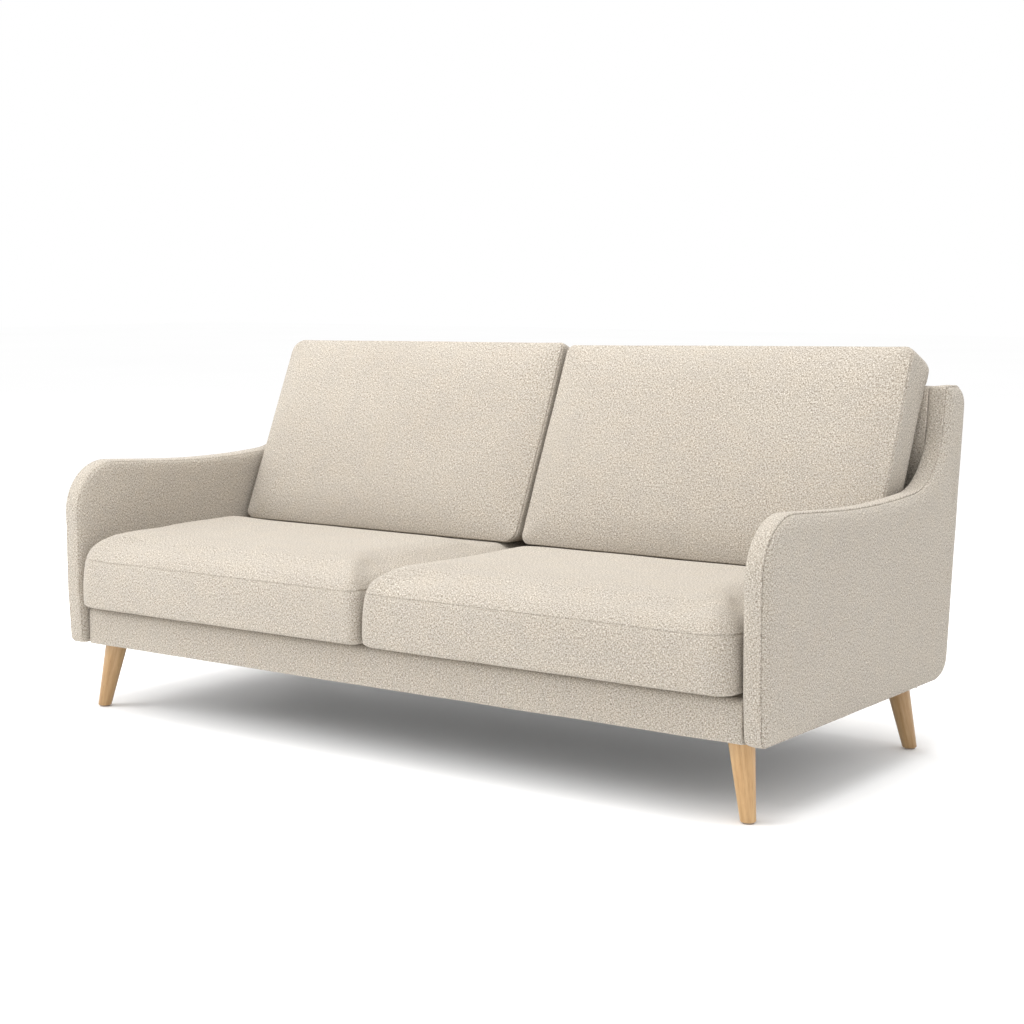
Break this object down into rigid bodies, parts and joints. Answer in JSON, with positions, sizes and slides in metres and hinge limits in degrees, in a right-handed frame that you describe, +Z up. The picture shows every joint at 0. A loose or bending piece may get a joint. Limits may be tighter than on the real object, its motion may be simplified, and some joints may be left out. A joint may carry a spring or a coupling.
{
  "type": "sofa",
  "caption": "Upholstered sofa with scooped arms that sweep up into the back, loose seat and back cushions, and splayed tapered round wooden legs.",
  "frame": {"origin": "on the floor, under the middle of the sofa's outer box", "axes": "+X along the sofa's length, towards the right arm as seen from in front; +Y towards the back; +Z up"},
  "size_m": [2, 0.991, 0.9161],
  "materials": {
    "upholstery_fabric": "matte",
    "leg_wood": "satin",
    "timber": "matte",
    "plywood": "matte",
    "foam": "matte",
    "fibre_filling": "matte",
    "platform_cloth": "matte",
    "felt": "matte",
    "dust_cloth": "matte",
    "webbing": "matte",
    "spring_steel": "satin",
    "zinc_steel": "satin",
    "glide_plastic": "matte",
    "zip_tape": "matte"
  },
  "bodies": {
    "frame": {"front_rail": "timber", "rear_rail": "timber", "centre_rail": "timber", "corner_blocks": "timber", "side_rail_left": "timber", "side_rail_right": "timber", "side_frame_left": "plywood", "side_frame_right": "plywood", "side_foam_left": "foam", "side_foam_right": "foam", "side_cover_left": "upholstery_fabric", "side_cover_right": "upholstery_fabric", "side_bolts": "zinc_steel", "back_posts": "timber", "back_top_rail": "timber", "back_lower_rail": "timber", "back_webbing": "webbing", "back_pad": "foam", "back_top_pad": "foam", "inside_back_cover": "upholstery_fabric", "outside_back_cover": "upholstery_fabric", "seat_springs": "spring_steel", "spring_clips": "spring_steel", "spring_ties": "spring_steel", "deck_felt": "felt", "deck_pad": "foam", "deck_cloth": "platform_cloth", "front_rail_pad": "foam", "front_rail_cover": "upholstery_fabric", "dust_cover": "dust_cloth", "leg_plates": "zinc_steel", "leg_bolts": "zinc_steel", "leg_screws": "zinc_steel", "leg_glides": "glide_plastic", "leg_front_left": "leg_wood", "leg_front_right": "leg_wood", "leg_rear_left": "leg_wood", "leg_rear_right": "leg_wood"},
    "seat_cushion_left": {"seat_cushion_cover_left": "upholstery_fabric", "seat_cushion_foam_left": "foam", "seat_cushion_zip_left": "zip_tape"},
    "seat_cushion_right": {"seat_cushion_cover_right": "upholstery_fabric", "seat_cushion_foam_right": "foam", "seat_cushion_zip_right": "zip_tape"},
    "back_cushion_left": {"back_cushion_cover_left": "upholstery_fabric", "back_cushion_filling_left": "fibre_filling", "back_cushion_zip_left": "zip_tape"},
    "back_cushion_right": {"back_cushion_cover_right": "upholstery_fabric", "back_cushion_filling_right": "fibre_filling", "back_cushion_zip_right": "zip_tape"}
  },
  "joints": [
    {"name": "seat_cushion_left_lift", "type": "slide", "parent": "frame", "child": "seat_cushion_left", "axis": [0, 0, 1], "range_m": [0, 0.62]},
    {"name": "seat_cushion_right_lift", "type": "slide", "parent": "frame", "child": "seat_cushion_right", "axis": [0, 0, 1], "range_m": [0, 0.62]},
    {"name": "back_cushion_left_lift", "type": "slide", "parent": "seat_cushion_left", "child": "back_cushion_left", "axis": [0, 0, 1], "range_m": [0, 0.45]},
    {"name": "back_cushion_right_lift", "type": "slide", "parent": "seat_cushion_right", "child": "back_cushion_right", "axis": [0, 0, 1], "range_m": [0, 0.45]}
  ]
}
